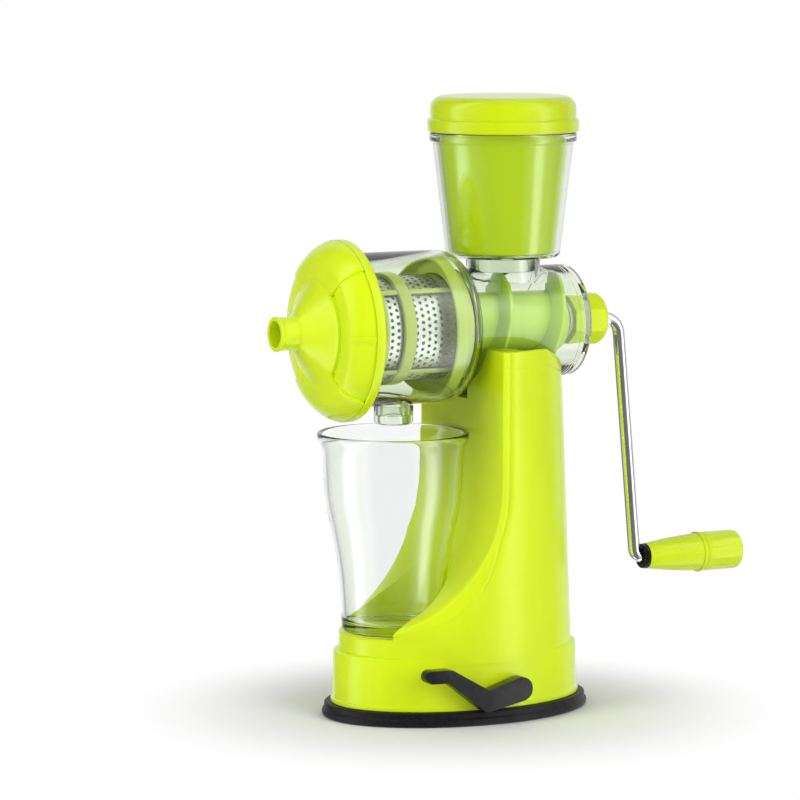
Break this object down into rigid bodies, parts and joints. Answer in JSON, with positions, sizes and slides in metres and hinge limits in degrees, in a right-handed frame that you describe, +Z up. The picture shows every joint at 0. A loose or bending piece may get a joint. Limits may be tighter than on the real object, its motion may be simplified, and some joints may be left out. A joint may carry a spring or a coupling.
{
  "type": "manual juicer",
  "caption": "Hand-cranked screw juicer on an oval vacuum foot, with a clear drum and hopper, a pusher, a strainer, a pulp nozzle and a glass under its spout.",
  "frame": {"origin": "centre of the oval foot where it rests on the table", "axes": "+X to the crank, -X to the pulp nozzle, +Z up, vacuum lever on the -Y side"},
  "size_m": [0.2919, 0.1126, 0.34],
  "materials": {
    "lime_plastic": "glossy lime green",
    "auger_green": "glossy green",
    "strainer_green": "glossy light green",
    "clear_plastic": "clear, polished",
    "tumbler_glass": "clear, polished",
    "white_plastic": "smooth white",
    "dark_plastic": "matt black",
    "black_plastic": "satin black",
    "black_rubber": "smooth black",
    "seal_rubber": "translucent grey",
    "steel": "bright steel",
    "steel_sheet": "perforated stainless sheet",
    "chromed_rod": "polished chrome"
  },
  "bodies": {
    "stand": {"stand_shell": "lime_plastic", "suction_pad": "black_rubber", "base_plate": "dark_plastic", "base_screws": "steel"},
    "lever": {"vacuum_lever": "black_plastic", "lever_axle": "steel"},
    "stem": {"pad_stem": "steel"},
    "chamber": {"juice_chamber": "clear_plastic", "juice_spout": "clear_plastic", "strainer_frame": "strainer_green", "strainer_mesh": "steel_sheet", "rear_bush": "white_plastic", "shaft_seal": "seal_rubber"},
    "seal": {"cover_seal": "seal_rubber"},
    "cover": {"front_cover": "lime_plastic"},
    "crank": {"auger": "auger_green", "drive_shaft": "steel", "drive_knob": "lime_plastic", "crank_rod": "chromed_rod", "grip_retainer": "steel"},
    "grip": {"grip_sleeve": "lime_plastic", "grip_cap": "lime_plastic", "grip_bush": "black_plastic"},
    "hopper": {"hopper": "clear_plastic"},
    "pusher": {"pusher_body": "lime_plastic", "pusher_cap": "lime_plastic"},
    "glass": {"glass_tumbler": "tumbler_glass"}
  },
  "joints": [
    {"name": "chamber_slide", "type": "slide", "parent": "stand", "child": "chamber", "axis": [-1, 0, 0], "range_m": [0, 0.03]},
    {"name": "crank_spin", "type": "hinge", "parent": "chamber", "child": "crank", "pos_m": [0, 0, 0.214], "axis": [1, 0, 0], "continuous": true},
    {"name": "grip_spin", "type": "hinge", "parent": "crank", "child": "grip", "pos_m": [0.14, 0, 0.077], "axis": [1, 0, 0], "continuous": true},
    {"name": "cover_travel", "type": "slide", "parent": "chamber", "child": "seal", "axis": [-1, 0, 0], "range_m": [0, 0.012]},
    {"name": "cover_turn", "type": "hinge", "parent": "seal", "child": "cover", "pos_m": [-0.075, 0, 0.214], "axis": [-1, 0, 0], "range_deg": [0, 720]},
    {"name": "hopper_lift", "type": "slide", "parent": "chamber", "child": "hopper", "axis": [0, 0, 1], "range_m": [0, 0.03]},
    {"name": "pusher_slide", "type": "slide", "parent": "hopper", "child": "pusher", "axis": [0, 0, 1], "range_m": [0, 0.09]},
    {"name": "lever_rock", "type": "hinge", "parent": "stand", "child": "lever", "pos_m": [-0.01, 0, 0.014], "axis": [0, -1, 0], "range_deg": [0, 21]},
    {"name": "stem_lift", "type": "slide", "parent": "stand", "child": "stem", "axis": [0, 0, 1], "range_m": [0, 0.00342], "deforming": ["suction_pad"]},
    {"name": "glass_slide", "type": "slide", "parent": "stand", "child": "glass", "axis": [-1, 0, 0], "range_m": [0, 0.12]}
  ],
  "couplings": [
    {"joint": "cover_travel", "follows": "cover_turn", "m_per_rad": 0.00095493},
    {"joint": "lever_rock", "follows": "stem_lift", "rad_per_m": 102.04}
  ]
}
